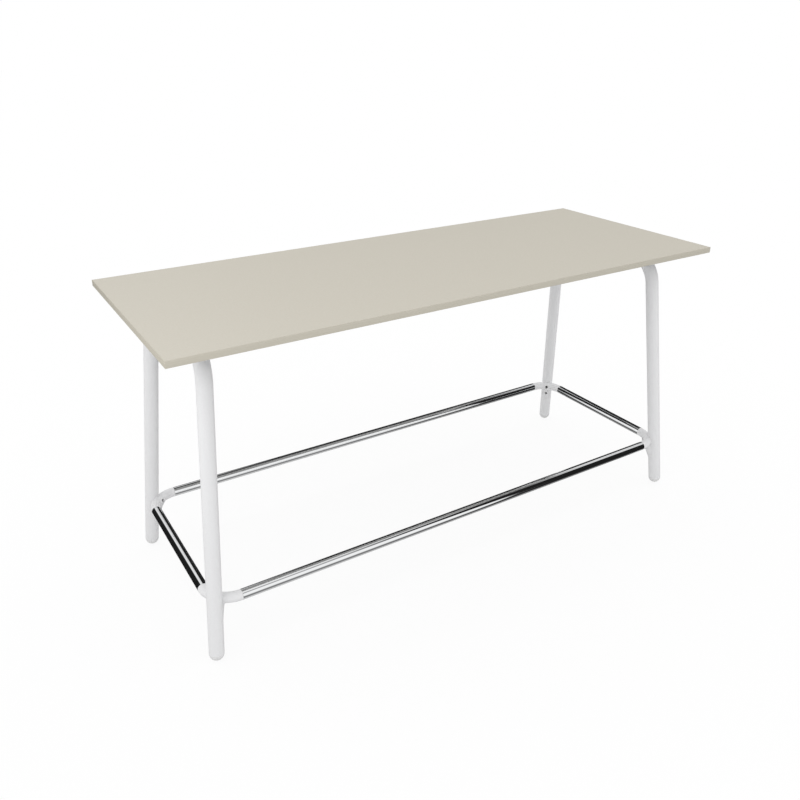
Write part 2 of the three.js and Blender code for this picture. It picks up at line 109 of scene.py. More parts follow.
# Bolts of the castings
BOLT_RADIUS = 3 * MM
BOLT_LENGTH = 20 * MM
BOLT_HEAD_RADIUS = 5.25 * MM
BOLT_HEAD_HEIGHT = 3.3 * MM
BOLT_SOCKET = 4 * MM
BOLT_SOCKET_DEPTH = 2 * MM
BOLT_RECESS = 7 * MM
BOLT_RECESS_RADIUS = 5.75 * MM
UPPER_BOLT_RISE = 6 * MM
BOLT_SPACING = 34 * MM

# Wood screws under the board
SCREW_RADIUS = 2 * MM
SCREW_HEAD_RADIUS = 4 * MM
SCREW_HEAD_HEIGHT = 2.8 * MM
SCREW_SOCKET = 3 * MM
SCREW_SOCKET_DEPTH = 1.4 * MM

# What bolts and screws share: the blunt tip, the flat on the head and the drilled point under the socket
SHANK_TIP = 0.5 * MM
CROWN_PER_SOCKET = 0.8
DRILL_PER_SOCKET = 0.25

# Plates and channels under the board
PLATE_CORNER = 6 * MM
PLATE_ARRIS = 0.5 * MM
CHANNEL_WALL = 2 * MM
CHANNEL_BEND = 4 * MM

# Weld beads between plates and cross bars
WELD_RADIUS = 2.6 * MM
WELD_PITCH = 2.1 * MM
WELD_ASIDE = 11 * MM
WELD_BELOW = 2.0 * MM
WELD_MARGIN = 4 * MM
WELD_LEAST_DROP = 0.85
WELD_FACETS = 3
WELD_SEED = 7

# Levelling feet, their stems and the plugs in the legs
DOME_FLAT_DEPTH = 0.5 * MM
DOME_EDGE = 0.6 * MM
DOME_STEPS = 24
STEM_RADIUS = 4 * MM
STEM_LENGTH = 50 * MM
STEM_COVER = 6 * MM
THREAD_PITCH = 1.25 * MM
THREAD_DEPTH = 0.7 * MM
THREAD_STEPS = 24
THREAD_RIDGE_SIDES = 4
PLUG_LENGTH = 30 * MM

# Nearly all values of a noise lie between these two
NOISE_LOW = 0.3
NOISE_HIGH = 0.7

# The photograph's camera, fitted to the table's edges and legs
CAMERA_PLACE = (-1.2787, -1.9225, 1.5618)
CAMERA_TURN = (63.99, 0.0, -31.936)
CAMERA_LENS = 34.69
CAMERA_SENSOR = 36.0

# The even light on the table, and the softbox beside its left end
FILL_LEVEL = 1.17
STRIP_LIGHT_PLACE = (-1.4, -0.35, 0.95)
STRIP_LIGHT_AIM = (-0.9, -0.3, 0.9)
STRIP_LIGHT_LENGTH = 0.9
STRIP_LIGHT_HEIGHT = 0.15
STRIP_LIGHT_POWER = 1.0

# The white sweep under the table: its size and place, the light it sends up, and how dark its shadows are
FLOOR_SIZE = 60.0
FLOOR_DROP = 0.2 * MM
FLOOR_ALBEDO = 0.76
FLOOR_SHADOW = 0.10

# What the rails mirror: bright panels in a dark studio. Azimuth counts from +Y towards +X, in degrees.
# Each row has middle, half size and width of the soft rim, by azimuth and by elevation, and the level.
STUDIO_DARK = 0.014
STUDIO_PANELS = {
    "front_wall": ((228, 82, 1.6), (12, 30, 28), 1.0),
    "front_floor": ((229, 83, 14), (-38, 34, 20), 0.22),
    "front_ceiling": ((215, 75, 10), (66, 14, 10), 0.85),
    "right_ceiling": ((150, 75, 30), (90, 31, 16), 0.95),
    "back_ceiling": ((20, 60, 30), (80, 34, 20), 0.07),
    "back_panel": ((0, 18, 10), (34, 12, 8), 0.88),
    "right_panel": ((84, 28, 12), (43, 9, 6), 0.8),
    "floor": ((0, 180, 1), (-90, 37, 40), 0.65),
}


def node_centre(name):
    """The middle of a node's box."""
    low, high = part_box(name)
    return (low + high) / 2


# The back right leg's axis runs along its foot's slide.
slides = {joint["child"]: Vector(joint["axis"]) for joint in frame["joints"]}
leg_up = -slides[f"foot_{MODEL_CORNER}"].normalized()
stem_middle = node_centre(f"foot_stem_{MODEL_CORNER}")


def leg_at(height):
    """The point of the leg's axis at that height."""
    return stem_middle + leg_up * ((height - stem_middle.z) / leg_up.z)


def leg_frame(height):
    """The leg's own frame at that height: +Z up the leg and +X to the table's middle."""
    inward = Vector((-1, -1, 0))
    inward = (inward - inward.project(leg_up)).normalized()
    turn = Matrix((inward, leg_up.cross(inward), leg_up)).transposed().to_4x4()
    return Matrix.Translation(leg_at(height)) @ turn


# The ring of rails, the elbows between them and what follows from both
rail_low, rail_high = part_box("foot_rail_back")
rail_radius = (rail_high.z - rail_low.z) / 2
rail_height = node_centre("foot_rail_back").z
rail_x = node_centre("foot_rail_right").x
rail_y = node_centre("foot_rail_back").y
elbow_x = rail_high.x + SLIT
elbow_radius = rail_x - elbow_x
elbow_y = rail_y - elbow_radius
rail_frame = leg_frame(rail_height)
elbow_outset = math.hypot(rail_x - leg_at(rail_height).x, rail_y - leg_at(rail_height).y)
elbow_face = elbow_radius * (math.sqrt(2) - 1) - elbow_outset + rail_radius
lug_toe_face = LEG_RADIUS - LUG_TOE_SINK
lug_slope = (elbow_face - lug_toe_face) / LUG_LENGTH
lower_bolt_rise = UPPER_BOLT_RISE - BOLT_SPACING
bolt_seats = {
    UPPER_BOLT_RISE: elbow_face - BOLT_RECESS,
    lower_bolt_rise: elbow_face + lug_slope * (lower_bolt_rise + LUG_TOP_DROP) - BOLT_RECESS,
}
dome_base = LEG_RADIUS - DOME_FLAT_DEPTH
stem_floor = STEM_COVER - LEG_RADIUS
top_low, top_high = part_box("top_panel")


def linear(hex_colour):
    """An sRGB hex colour as linear red, green, blue and alpha."""
    values = [int(hex_colour[i:i + 2], 16) / 255 for i in (1, 3, 5)]
    return [v / 12.92 if v <= 0.04045 else ((v + 0.055) / 1.055) ** 2.4 for v in values] + [1.0]


def add(tree, kind, inputs=None, **settings):
    """Adds a node, sets its properties, and gives its sockets values or other nodes' outputs."""
    node = tree.nodes.new(kind)
    for name, value in settings.items():
        setattr(node, name, value)
    for key, value in (inputs or {}).items():
        if isinstance(value, bpy.types.NodeSocket):
            tree.links.new(value, node.inputs[key])
        else:
            node.inputs[key].default_value = value
    return node


def grit(size, detail=3.0, stretch=(1, 1, 1)):
    """A pattern of soft grains of that size, drawn out along an axis by a stretch above 1."""
    def pattern(tree, place):
        scale = [1 / (size * along) for along in stretch]
        mapped = add(tree, "ShaderNodeMapping", {"Vector": place, "Scale": scale})
        grains = {"Vector": mapped.outputs["Vector"], "Scale": 1.0, "Detail": detail}
        noise = add(tree, "ShaderNodeTexNoise", grains)
        spread = {"Value": noise.outputs[0], "From Min": NOISE_LOW, "From Max": NOISE_HIGH}
        return add(tree, "ShaderNodeMapRange", spread).outputs["Result"]
    return pattern


def finish_of(name, tones, pattern, roughness, relief, under=None, **sockets):
    """A surface whose colour, gloss and relief follow one pattern.

    tones are its two colours, roughness its lowest and highest value, and relief the height of the pattern.
    pattern adds the nodes that give a value from 0 to 1 on object coordinates.
    under gives two other tones, and the height below which they show.
    """
    material = bpy.data.materials.new(name)
    material.use_nodes = True
    tree = material.node_tree
    shader = tree.nodes["Principled BSDF"]
    place = add(tree, "ShaderNodeTexCoord").outputs["Object"]
    value = pattern(tree, place)
    first, second = [linear(tone) for tone in tones]
    colour = add(tree, "ShaderNodeMix", {0: value, 6: first, 7: second}, data_type="RGBA")
    if under:
        other_tones, height = under
        first, second = [linear(tone) for tone in other_tones]
        other = add(tree, "ShaderNodeMix", {0: value, 6: first, 7: second}, data_type="RGBA")
        level = add(tree, "ShaderNodeSeparateXYZ", {0: place}).outputs["Z"]
        below = add(tree, "ShaderNodeMath", {0: level, 1: height}, operation="LESS_THAN")
        sides = {0: below.outputs[0], 6: colour.outputs[2], 7: other.outputs[2]}
        colour = add(tree, "ShaderNodeMix", sides, data_type="RGBA")
    gloss = add(tree, "ShaderNodeMapRange", {"Value": value, "To Min": roughness[0], "To Max": roughness[1]})
    bump = add(tree, "ShaderNodeBump", {"Height": value, "Distance": relief, "Strength": 1.0})
    tree.links.new(colour.outputs[2], shader.inputs["Base Color"])
    tree.links.new(gloss.outputs["Result"], shader.inputs["Roughness"])
    tree.links.new(bump.outputs["Normal"], shader.inputs["Normal"])
    for socket, setting in sockets.items():
        shader.inputs[socket.replace("_", " ")].default_value = setting
    return material


# Melamine paper pressed on chipboard: an even greige whose pressed pearl grain scatters the gloss.
# The grain is 0.5 mm on the real sheet, and is drawn coarser so that a close view shows it.
# The board's underside is painted a darker grey: painted shade for the dim light under the board, which the
# rails mirror.
melamine = finish_of(
    "melamine_greige_painted_shade_under",
    tones=("#ccc7bb", "#c9c4b7"),
    pattern=grit(4 * MM),
    roughness=(0.42, 0.50),
    relief=0.02 * MM,
    under=(("#a5a5a3", "#a1a19f"), top_low.z + UNDERSIDE_SHADE_DEPTH),
    IOR=1.5,
)

# Extruded ABS edging, milled flush, with faint lines along its run. Its tones sit a shade below the board's:
# painted shade for the dimmer light on the board's upright sides.
# The lines are a few tenths of a millimetre apart on the real strip, and are drawn wider.
edging = finish_of(
    "abs_edging_painted_shade",
    tones=("#bfbaad", "#bbb6a8"),
    pattern=grit(3 * MM, stretch=(30, 30, 1)),
    roughness=(0.38, 0.48),
    relief=0.02 * MM,
    IOR=1.53,
)

# Polyester powder coat baked on steel and castings: satin white, with the film's slight orange peel.
powder_coat = finish_of(
    "powder_coat_white",
    tones=("#e0e0e1", "#ddddde"),
    pattern=grit(3 * MM, detail=2.0),
    roughness=(0.50, 0.60),
    relief=0.015 * MM,
    IOR=1.5,
    Specular_IOR_Level=0.25,
)

# Bright chrome over polished nickel: a near-perfect mirror, with a breath of haze where shoes wipe it.
chrome = finish_of(
    "chrome_plate_bright",
    tones=("#f0f1f2", "#ecedee"),
    pattern=grit(40 * MM, detail=2.0),
    roughness=(0.02, 0.045),
    relief=0.004 * MM,
    Metallic=1.0,
)

# Bright zinc with clear passivation: a soft grey metal with bluish and yellowish clouds.
zinc = finish_of(
    "zinc_plate_clear",
    tones=("#b9bdc2", "#b8b5ab"),
    pattern=grit(5 * MM),
    roughness=(0.26, 0.40),
    relief=0.01 * MM,
    Metallic=1.0,
)

# Black oxide on alloy steel: a dark oily satin, a little browner where it is worn.
black_oxide = finish_of(
    "black_oxide_steel",
    tones=("#3a3b3d", "#454341"),
    pattern=grit(2 * MM),
    roughness=(0.34, 0.50),
    relief=0.01 * MM,
    Metallic=1.0,
)

# Moulded polyamide with a spark-eroded texture: matt light grey, close to the paint.
# The texture is a few tenths of a millimetre on the real foot, and is drawn coarser.
glide_plastic = finish_of(
    "polyamide_light_grey",
    tones=("#e0e0e0", "#dadada"),
    pattern=grit(1.5 * MM),
    roughness=(0.48, 0.60),
    relief=0.02 * MM,
    IOR=1.53,
)

# Moulded polyethylene: dull black, with the mould's faint mottle.
plug_plastic = finish_of(
    "polyethylene_black",
    tones=("#262627", "#2c2c2d"),
    pattern=grit(1.5 * MM),
    roughness=(0.50, 0.62),
    relief=0.02 * MM,
    IOR=1.51,
)


def geometry_tree(name, **sockets):
    """A geometry node tree with named inputs of those kinds, and the outputs of its input node."""
    tree = bpy.data.node_groups.new(name, "GeometryNodeTree")
    for label, kind in sockets.items():
        tree.interface.new_socket(label, in_out="INPUT", socket_type=f"NodeSocket{kind}")
    tree.interface.new_socket("Piece", in_out="OUTPUT", socket_type="NodeSocketGeometry")
    return tree, add(tree, "NodeGroupInput").outputs


def close_tree(tree, piece, finish):
    """Ends a tree with the piece as real faces in its finish."""
    real = add(tree, "GeometryNodeRealizeInstances", {"Geometry": piece})
    dressed = add(tree, "GeometryNodeSetMaterial", {"Geometry": real.outputs[0], "Material": finish})
    add(tree, "NodeGroupOutput", {0: dressed.outputs[0]})
    return tree


def tube_tree():
    """A round tube's skin along a path of straight edges."""
    tree, given = geometry_tree(
        "tube_along_path", Path="Geometry", Radius="Float", Sides="Int", Ends="Bool", Finish="Material"
    )
    curve = add(tree, "GeometryNodeMeshToCurve", {"Mesh": given["Path"]})
    section = {"Radius": given["Radius"], "Resolution": given["Sides"]}
    circle = add(tree, "GeometryNodeCurvePrimitiveCircle", section)
    sweep = {"Curve": curve.outputs[0], "Profile Curve": circle.outputs[0], "Fill Caps": given["Ends"]}
    skin = add(tree, "GeometryNodeCurveToMesh", sweep)
    return close_tree(tree, skin.outputs[0], given["Finish"])


def weld_tree():
    """A weld bead along a path: drops that overlap, each a little larger or smaller than the last."""
    tree, given = geometry_tree(
        "weld_bead", Path="Geometry", Pitch="Float", Radius="Float", Finish="Material"
    )
    curve = add(tree, "GeometryNodeMeshToCurve", {"Mesh": given["Path"]})
    spacing = {"Curve": curve.outputs[0], "Length": given["Pitch"]}
    spots = add(tree, "GeometryNodeResampleCurve", spacing, mode="LENGTH")
    drop = add(tree, "GeometryNodeMeshIcoSphere", {"Radius": given["Radius"], "Subdivisions": WELD_FACETS})
    sizes = add(tree, "FunctionNodeRandomValue", {2: WELD_LEAST_DROP, 3: 1.0, "Seed": WELD_SEED})
    drops = {"Points": spots.outputs[0], "Instance": drop.outputs[0], "Scale": sizes.outputs[1]}
    bead = add(tree, "GeometryNodeInstanceOnPoints", drops)
    return close_tree(tree, bead.outputs[0], given["Finish"])


def corners_tree():
    """A piece of the back right corner, mirrored to the other three."""
    tree, given = geometry_tree("four_corners", Piece="Geometry", Finish="Material")
    whole = given["Piece"]
    for flip in ((-1, 1, 1), (1, -1, 1)):
        mirrored = add(tree, "GeometryNodeTransform", {"Geometry": whole, "Scale": flip})
        turned_out = add(tree, "GeometryNodeFlipFaces", {"Mesh": mirrored.outputs[0]})
        both = add(tree, "GeometryNodeJoinGeometry", {0: whole})
        tree.links.new(turned_out.outputs[0], both.inputs[0])
        whole = both.outputs[0]
    return close_tree(tree, whole, given["Finish"])


def rows_tree():
    """A piece repeated in rows along X and Y, centred on its own place."""
    tree, given = geometry_tree(
        "rows_of_screws",
        Piece="Geometry",
        Along="Int",
        Across="Int",
        Length="Float",
        Width="Float",
        Finish="Material",
    )
    counts = {"Vertices X": given["Along"], "Vertices Y": given["Across"]}
    spots = add(tree, "GeometryNodeMeshGrid", {"Size X": given["Length"], "Size Y": given["Width"], **counts})
    copies = {"Points": spots.outputs[0], "Instance": given["Piece"]}
    rows = add(tree, "GeometryNodeInstanceOnPoints", copies)
    return close_tree(tree, rows.outputs[0], given["Finish"])


def thread_tree():
    """A thread's ridge wound round a rod that stands on Z 0."""
    tree, given = geometry_tree(
        "thread_on_rod",
        Rod="Geometry",
        Turns="Float",
        Height="Float",
        Radius="Float",
        Depth="Float",
        Finish="Material",
    )
    radii = {"Start Radius": given["Radius"], "End Radius": given["Radius"]}
    winding = {"Resolution": THREAD_STEPS, "Rotations": given["Turns"], "Height": given["Height"], **radii}
    spiral = add(tree, "GeometryNodeCurveSpiral", winding)
    section = {"Radius": given["Depth"], "Resolution": THREAD_RIDGE_SIDES}
    ridge = add(tree, "GeometryNodeCurvePrimitiveCircle", section)
    sweep = {"Curve": spiral.outputs[0], "Profile Curve": ridge.outputs[0], "Fill Caps": True}
    wound = add(tree, "GeometryNodeCurveToMesh", sweep)
    both = add(tree, "GeometryNodeJoinGeometry", {0: given["Rod"]})
    tree.links.new(wound.outputs[0], both.inputs[0])
    return close_tree(tree, both.outputs[0], given["Finish"])


TUBE = tube_tree()
WELD = weld_tree()
FOUR_CORNERS = corners_tree()
SCREW_ROWS = rows_tree()
THREAD = thread_tree()


def scene_object(name, data):
    """A new object in the scene, at the origin."""
    obj = bpy.data.objects.new(name, data)
    bpy.context.scene.collection.objects.link(obj)
    return obj


def baked(obj):
    """The object's mesh with its modifiers applied; the object itself goes."""
    graph = bpy.context.evaluated_depsgraph_get()
    mesh = bpy.data.meshes.new_from_object(obj.evaluated_get(graph))
    bpy.data.objects.remove(obj)
    return mesh


def grown(mesh, tree, wall=0, **values):
    """The plain mesh that a tree makes from a mesh, with a wall's thickness inwards where one is given."""
    obj = scene_object(tree.name, mesh)
    modifier = obj.modifiers.new(tree.name, "NODES")
    modifier.node_group = tree
    for item in tree.interface.items_tree:
        if item.in_out == "INPUT" and item.name in values:
            modifier[item.identifier] = values[item.name]
    if wall:
        solid = obj.modifiers.new("wall", "SOLIDIFY")
        solid.thickness = wall
        solid.offset = -1
        solid.use_even_offset = True
    return baked(obj)


@contextmanager
def opened(mesh):
    """A mesh opened for work on its faces; the changes go back into it."""
    work = bmesh.new()
    work.from_mesh(mesh)
    yield work
    work.to_mesh(mesh)
    work.free()


def facing_out(mesh):
    """The mesh with its faces turned outwards."""
    with opened(mesh) as work:
        bmesh.ops.recalc_face_normals(work, faces=work.faces)
    return mesh


def without_slivers(mesh):
    """The mesh in triangles, with those that a cut left too thin to see melted away."""
    with opened(mesh) as work:
        bmesh.ops.dissolve_degenerate(work, edges=work.edges, dist=SLIVER)
        bmesh.ops.triangulate(work, faces=work.faces)
    return mesh


def cut_flat(work, place, outward):
    """Cuts off what lies beyond a plane, and gives the faces that close the cut."""
    whole = work.verts[:] + work.edges[:] + work.faces[:]
    cut = bmesh.ops.bisect_plane(work, geom=whole, plane_co=place, plane_no=outward, clear_outer=True)
    rim = [item for item in cut["geom_cut"] if isinstance(item, bmesh.types.BMEdge)]
    return bmesh.ops.contextual_create(work, geom=rim)["faces"]


def joined(meshes):
    """Several meshes as one."""
    whole = bpy.data.meshes.new("joined")
    with opened(whole) as work:
        for mesh in meshes:
            work.from_mesh(mesh)
    return whole


def path_mesh(points):
    """A path of straight edges through those points."""
    mesh = bpy.data.meshes.new("path")
    mesh.from_pydata(points, [(i, i + 1) for i in range(len(points) - 1)], [])
    return mesh


def loft(rings, ring_shaped=False):
    """A closed mesh through rings of points: its ends are capped, or the last ring joins the first."""
    count = len(rings[0])
    points = [point for ring in rings for point in ring]
    faces = []
    for start in range(0, len(points) if ring_shaped else len(points) - count, count):
        after = (start + count) % len(points)
        for i in range(count):
            j = (i + 1) % count
            faces.append((start + i, start + j, after + j, after + i))
    if not ring_shaped:
        faces.append(tuple(reversed(range(count))))
        faces.append(tuple(range(len(points) - count, len(points))))
    mesh = bpy.data.meshes.new("loft")
    mesh.from_pydata(points, [], faces)
    return facing_out(mesh)


def quarter_turn(steps):
    """Angles from 0 to a right angle."""
    return [RIGHT_ANGLE * i / steps for i in range(steps + 1)]


def round_ring(radius, height):
    """A ring of points round the Z axis."""
    angles = [2 * math.pi * i / TURNED_SIDES for i in range(TURNED_SIDES)]
    return [Vector((radius * math.cos(a), radius * math.sin(a), height)) for a in angles]


def hexagon_ring(width, height):
    """A ring of the same number of points on a hexagon of that width across flats."""
    sixth = math.pi / 3
    points = []
    for point in round_ring(1, height):
        angle = math.atan2(point.y, point.x) % sixth - sixth / 2
        reach = width / 2 / math.cos(angle)
        points.append(Vector((point.x * reach, point.y * reach, height)))
    return points


def rod(radius, low, high, place):
    """A round rod from low to high on the Z axis of a place."""
    count = math.ceil((high - low) / ROD_RINGS_APART)
    mesh = loft([round_ring(radius, low + (high - low) * i / count) for i in range(count + 1)])
    mesh.transform(place)
    return mesh


def screw_mesh(radius, length, head_radius, head_height, socket, socket_depth):
    """A screw with its head's seat on Z 0, its shank down and its domed head up, with a hexagon socket."""
    rings = [
        round_ring(radius - SHANK_TIP, -length),
        round_ring(radius, SHANK_TIP - length),
        round_ring(radius, 0),
    ]
    crown = socket * CROWN_PER_SOCKET
    for angle in quarter_turn(ROUNDING_STEPS):
        out = crown + (head_radius - crown) * math.cos(angle)
        rings.append(round_ring(out, head_height * math.sin(angle)))
    rings.append(hexagon_ring(socket, head_height))
    rings.append(hexagon_ring(socket, head_height - socket_depth))
    drill_point = socket * DRILL_PER_SOCKET
    rings.append(round_ring(drill_point, head_height - socket_depth - drill_point))
    return loft(rings)


def show(name, mesh, material, body, nodes):
    """Puts a finished mesh in the scene as the piece that stands for those nodes."""
    mesh.name = name
    if not mesh.materials:
        mesh.materials.append(material)
    for face in mesh.polygons:
        face.use_smooth = True
    mesh.set_sharp_from_angle(angle=SHARP_ANGLE)
    piece = scene_object(name, mesh)
    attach(piece, body)
    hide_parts(*nodes)


def dress_board():
    """The board keeps its own shape and takes its facing, with painted shade on its underside."""
    frame["nodes"]["top_panel"].material_slots[0].material = melamine


def edge_band(length):
    """A strip along X: inner face on Y 0, rounded outer arrises towards -Y, softened at its two ends."""
    thickness = cad_box[1].y - top_high.y
    height = top_high.z - top_low.z
    quarter = quarter_turn(ROUNDING_STEPS)
    reach = thickness - EDGE_ROUNDING
    profile = [(0.0, 0.0)]
    profile += [(reach + EDGE_ROUNDING * math.sin(a), EDGE_ROUNDING * (1 - math.cos(a))) for a in quarter]
    profile += [
        (reach + EDGE_ROUNDING * math.cos(a), height - EDGE_ROUNDING * (1 - math.sin(a))) for a in quarter
    ]
    profile.append((0.0, height))
    half = length / 2
    ends = [(half - EDGE_CORNER * (1 - math.cos(a)), EDGE_CORNER * (1 - math.sin(a))) for a in quarter]
    stations = [(-x, pull) for x, pull in ends] + list(reversed(ends))
    rings = []
    for x, pull in stations:
        share = 1 - pull / thickness
        rings.append([Vector((x, -out * share, top_low.z + z)) for out, z in profile])
    return loft(rings)


def add_edge_bands():
    """Four strips round the board; those at front and back cover the ends of the other two."""
    long_run = (top_high.y, 2 * cad_box[1].x)
    short_run = (top_high.x, 2 * top_high.y)
    runs = {"front": long_run, "right": short_run, "back": long_run, "left": short_run}
    for quarters, (name, (reach, length)) in enumerate(runs.items()):
        mesh = edge_band(length)
        mesh.transform(Matrix.Rotation(quarters * RIGHT_ANGLE, 4, "Z") @ Matrix.Translation((0, -reach, 0)))
        show(f"edging_{name}", mesh, edging, "table", [f"edge_band_{name}"])


def end_frame_path():
    """Points from foot to foot through the right end frame, in its tilted plane."""
    plate_low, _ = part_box(f"mounting_plate_{MODEL_CORNER}")
    bar_height = plate_low.z - LEG_RADIUS
    tilt = math.atan2(-leg_up.x, leg_up.z)
    splay = math.asin(-leg_up.y)
    bar_half = leg_at(bar_height).y - LEG_BEND_RADIUS * math.tan((RIGHT_ANGLE - splay) / 2)
    bend_centre = bar_height / math.cos(tilt) - LEG_BEND_RADIUS
    up_frame = Vector((-math.sin(tilt), 0, math.cos(tilt)))
    base = Vector((leg_at(0).x, 0, 0))
    side = [leg_at(dome_base) + leg_up * SLIT]
    for i in range(BEND_STEPS + 1):
        angle = splay + (RIGHT_ANGLE - splay) * i / BEND_STEPS
        y = bar_half + LEG_BEND_RADIUS * math.cos(angle)
        side.append(base + Vector((0, y, 0)) + up_frame * (bend_centre + LEG_BEND_RADIUS * math.sin(angle)))
    return side + [Vector((p.x, -p.y, p.z)) for p in reversed(side)]


def add_end_frames():
    """The two bent tubes that carry the board."""
    for end, sign in (("left", -1), ("right", 1)):
        path = path_mesh([(sign * p.x, p.y, p.z) for p in end_frame_path()])
        mesh = grown(path, TUBE, wall=LEG_WALL, Radius=LEG_RADIUS, Sides=TUBE_SIDES, Finish=powder_coat)
        show(f"end_frame_{end}", mesh, powder_coat, "table", [f"frame_tube_{end}"])


def add_rails():
    """The four chrome tubes round the legs."""
    along_x, along_y = Vector((1, 0, 0)), Vector((0, 1, 0))
    for name, along in (("front", along_x), ("back", along_x), ("left", along_y), ("right", along_y)):
        low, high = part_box(f"foot_rail_{name}")
        middle = (low + high) / 2
        run = along * (high - middle).dot(along)
        path = path_mesh([middle - run, middle + run])
        mesh = grown(path, TUBE, wall=RAIL_WALL, Radius=rail_radius, Sides=TUBE_SIDES, Finish=chrome)
        show(f"rail_{name}", mesh, chrome, "table", [f"foot_rail_{name}"])


def filleted(one, other, fillet):
    """The distance from two shapes that run together with a fillet."""
    overlap = np.maximum(fillet - np.abs(one - other), 0)
    return np.minimum(one, other) - overlap ** 2 / (4 * fillet)


def casting_distance(points):
    """Distance from the skin of elbow, lug and a stretch of the leg, which run together by fillets."""
    from_elbow = points - np.array((elbow_x, elbow_y, rail_height))
    along = np.hypot(np.maximum(from_elbow[:, 0], 0), np.maximum(from_elbow[:, 1], 0))
    elbow = np.hypot(along - elbow_radius, from_elbow[:, 2]) - rail_radius
    to_leg = np.array(rail_frame.inverted())
    local = points @ to_leg[:3, :3].T + to_leg[:3, 3]
    lug_axis = elbow_face - LUG_RADIUS + lug_slope * (local[:, 2] + LUG_TOP_DROP)
    lug = np.hypot(local[:, 0] - lug_axis, local[:, 1]) - LUG_RADIUS
    lug = np.maximum(lug, local[:, 2])
    leg = np.hypot(local[:, 0], local[:, 1]) - LEG_RADIUS + SADDLE_SINK
    leg = np.maximum(leg, np.abs(local[:, 2]) - SADDLE_REACH)
    return filleted(filleted(elbow, lug, CASTING_FILLET), leg, SADDLE_FILLET)


def settle(mesh, distance):
    """Moves the mesh's points onto the surface where the distance is zero."""
    points = np.empty(len(mesh.vertices) * 3)
    mesh.vertices.foreach_get("co", points)
    points = points.reshape(-1, 3)
    for _ in range(SETTLE_PASSES):
        value = distance(points)
        slopes = [(distance(points + SETTLE_STEP * axis) - value) / SETTLE_STEP for axis in np.eye(3)]
        slope = np.stack(slopes, axis=1)
        steepness = np.maximum((slope ** 2).sum(axis=1), LEAST_STEEPNESS)
        points = points - slope * (value / steepness)[:, None]
    mesh.vertices.foreach_set("co", points.ravel())
    mesh.update()


def rough_casting():
    """One closed skin near the casting: elbow with spare arms, lug and leg, melted together."""
    arc = [
        Vector((elbow_x + elbow_radius * math.cos(a), elbow_y + elbow_radius * math.sin(a), rail_height))
        for a in quarter_turn(BEND_STEPS)
    ]
    path = [arc[0] - Vector((0, SPARE_ARM, 0)), *arc, arc[-1] - Vector((SPARE_ARM, 0, 0))]
    elbow = grown(path_mesh(path), TUBE, Radius=rail_radius, Sides=TUBE_SIDES, Ends=True)
    rings = []
    for drop in (0, LUG_TOP_DROP + LUG_LENGTH):
        axis = elbow_face - LUG_RADIUS - lug_slope * (drop - LUG_TOP_DROP)
        shift = rail_frame @ Matrix.Translation((axis, 0, -drop))
        rings.append([shift @ point for point in round_ring(LUG_RADIUS, 0)])
    leg = rod(LEG_RADIUS - SADDLE_SINK, -SADDLE_REACH, SADDLE_REACH, rail_frame)
    obj = scene_object("casting", joined([elbow, loft(rings), leg]))
    cells = obj.modifiers.new("cells", "REMESH")
    cells.mode = "VOXEL"
    cells.voxel_size = SKIN_CELL
    return baked(obj)


def square_off_arms(mesh):
    """Cuts the spare arms off and gives each end its shoulder and the spigot that fills the rail."""
    spigot_radius = rail_radius - RAIL_WALL - SLIT
    ends = [
        (Vector((elbow_x, rail_y, rail_height)), Vector((-1, 0, 0))),
        (Vector((rail_x, elbow_y, rail_height)), Vector((0, -1, 0))),
    ]
    with opened(mesh) as work:
        for centre, outward in ends:
            shoulder = cut_flat(work, centre, outward)
            bmesh.ops.inset_region(work, faces=shoulder, thickness=rail_radius - spigot_radius)
            pushed = bmesh.ops.extrude_face_region(work, geom=shoulder)["geom"]
            moved = [item for item in pushed if isinstance(item, bmesh.types.BMVert)]
            bmesh.ops.translate(work, verts=moved, vec=outward * SPIGOT_LENGTH)
            bmesh.ops.delete(work, geom=shoulder, context="FACES_ONLY")
        bmesh.ops.recalc_face_normals(work, faces=work.faces)


def across_leg(rise):
    """A place on the leg's axis, that far above the rails, with +Z to the table's middle."""
    return rail_frame @ Matrix.Translation((0, 0, rise)) @ Matrix.Rotation(RIGHT_ANGLE, 4, "Y")


def add_castings():
    """Corner castings: smooth elbow and lug, saddled to the leg, with a counterbore for each bolt."""
    mesh = rough_casting()
    settle(mesh, casting_distance)
    square_off_arms(mesh)
    reach = SADDLE_REACH + LEG_RADIUS
    cutters = [rod(LEG_RADIUS + SLIT, -reach, reach, rail_frame)]
    for rise, seat in bolt_seats.items():
        cutters.append(rod(BOLT_RECESS_RADIUS, seat, seat + elbow_face, across_leg(rise)))
        cutters.append(rod(BOLT_RADIUS + SLIT, 0, seat + SLIT, across_leg(rise)))
    casting = scene_object("casting", mesh)
    tools = [scene_object("cutter", cutter) for cutter in cutters]
    for tool in tools:
        hole = casting.modifiers.new("cut", "BOOLEAN")
        hole.operation = "DIFFERENCE"
        hole.solver = "EXACT"
        hole.object = tool
    mesh = baked(casting)
    for tool in tools:
        bpy.data.objects.remove(tool)
    mesh = grown(without_slivers(mesh), FOUR_CORNERS, Finish=powder_coat)
    nodes = [f"corner_connector_{corner}" for corner in CORNERS]
    show("corner_castings", mesh, powder_coat, "table", nodes)


def add_bolts():
    """Two bolts in each casting, with their heads at the bottom of the recesses."""
    pair = []
    for rise, seat in bolt_seats.items():
        mesh = screw_mesh(
            BOLT_RADIUS, BOLT_LENGTH, BOLT_HEAD_RADIUS, BOLT_HEAD_HEIGHT, BOLT_SOCKET, BOLT_SOCKET_DEPTH
        )
        mesh.transform(across_leg(rise) @ Matrix.Translation((0, 0, seat + SLIT)))
        pair.append(mesh)
    mesh = grown(joined(pair), FOUR_CORNERS, Finish=black_oxide)
    nodes = [f"connector_bolt_{level}_{corner}" for level in ("upper", "lower") for corner in CORNERS]
    show("casting_bolts", mesh, black_oxide, "table", nodes)


